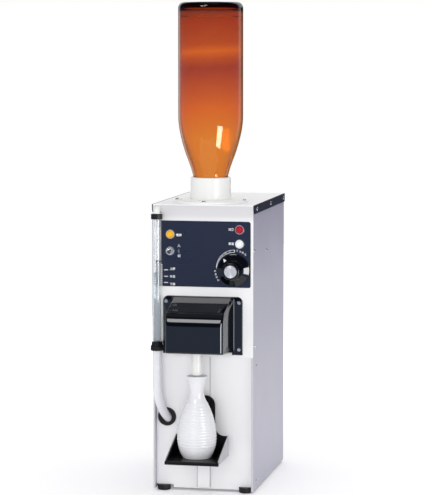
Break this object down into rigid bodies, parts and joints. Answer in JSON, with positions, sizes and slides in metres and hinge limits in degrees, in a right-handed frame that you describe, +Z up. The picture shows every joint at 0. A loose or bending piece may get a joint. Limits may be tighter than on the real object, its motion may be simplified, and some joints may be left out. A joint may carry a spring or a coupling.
{
  "type": "counter-top sake warmer",
  "caption": "Tall steel counter-top warmer: an upturned bottle feeds a coil in a hot-water tank and a hooded nozzle fills a flask on a sliding tray.",
  "frame": {"origin": "middle of the bounding box, at the level of the feet", "axes": "+Z up, -Y towards the person who pours, +X to that person's right"},
  "size_m": [0.1722, 0.392, 0.794],
  "materials": {
    "steel_front": "fine satin",
    "steel_side": "satin",
    "steel_inner": "plain sheet",
    "trim_navy": "semi-gloss",
    "plate_navy": "gloss, printed in white",
    "screw_steel": "bright",
    "bezel": "bright",
    "lens_amber": "clear coloured",
    "lens_red": "clear coloured",
    "lens_clear": "clear frosted",
    "black_gloss": "high gloss",
    "black_matte": "matte",
    "rubber_black": "matte",
    "cap_aluminium": "spun",
    "white_plastic": "smooth white",
    "hose_silicone": "translucent",
    "tube_clear": "clear",
    "flask_glaze": "white glaze",
    "bottle_amber": "amber",
    "sake": "clear liquid",
    "valve_brass": "cast",
    "coil_blue": "moulded",
    "copper": "plain",
    "block_ivory": "moulded"
  },
  "bodies": {
    "casing": {"base_pan": "steel_side", "feet": "rubber_black", "side_panel_left": "steel_side", "side_panel_right": "steel_side", "rear_cover": "steel_side", "top_lid": "steel_front", "lid_strips": "trim_navy", "strip_screws": "screw_steel", "casing_screws": "screw_steel", "fascia": "steel_front", "lower_panel": "steel_front", "control_plate": "plate_navy", "lamp_housings": "bezel", "lamp_lens_amber": "lens_amber", "lamp_lens_red": "lens_red", "lamp_lens_clear": "lens_clear", "toggle_body": "black_matte", "toggle_nut": "screw_steel", "thermostat_body": "block_ivory", "thermostat_bulb": "copper", "hood": "black_gloss", "hood_screws": "screw_steel", "nozzle": "white_plastic", "pour_valve": "valve_brass", "valve_coil": "coil_blue", "outlet_pipe": "steel_inner", "sight_tube": "tube_clear", "sight_ring_top": "black_matte", "sight_elbow": "white_plastic", "sight_fitting": "black_matte", "hose": "hose_silicone", "grommet": "rubber_black", "drain_elbow": "steel_inner", "rail": "steel_front", "socket_flange": "white_plastic", "socket_collar": "white_plastic", "socket_cup": "white_plastic", "socket_gasket": "rubber_black", "socket_screws": "screw_steel", "feed_pipe": "steel_inner", "tank_stand": "steel_inner", "tank": "steel_inner", "tank_lid": "steel_inner", "sake_coil": "steel_inner", "heater": "steel_inner", "terminal_block": "block_ivory", "cord_gland": "black_matte"},
    "dial": {"dial_knob": "black_gloss", "dial_cap": "cap_aluminium", "dial_pointer": "white_plastic", "thermostat_shaft": "screw_steel"},
    "toggle": {"toggle_lever": "screw_steel"},
    "tray": {"tray_shoe": "black_matte", "tray_bracket": "steel_inner", "tray_liner": "black_gloss"},
    "flask": {"flask": "flask_glaze"},
    "bottle": {"bottle": "bottle_amber", "bottle_sake": "sake", "bottle_plug": "white_plastic"}
  },
  "joints": [
    {"name": "dial_turn", "type": "hinge", "parent": "casing", "child": "dial", "pos_m": [0.051, -0.1076, 0.365], "axis": [0, -1, 0], "range_deg": [-102, 93]},
    {"name": "toggle_flip", "type": "hinge", "parent": "casing", "child": "toggle", "pos_m": [-0.0537, -0.107, 0.394], "axis": [1, 0, 0], "range_deg": [0, 26]},
    {"name": "bottle_lift", "type": "slide", "parent": "casing", "child": "bottle", "axis": [0, 0, 1], "range_m": [0, 0.14]},
    {"name": "tray_height", "type": "slide", "parent": "casing", "child": "tray", "axis": [0, 0, 1], "range_m": [-0.045, 0]},
    {"name": "flask_slide", "type": "slide", "parent": "tray", "child": "flask", "axis": [0, -1, 0], "range_m": [0, 0.12]}
  ]
}
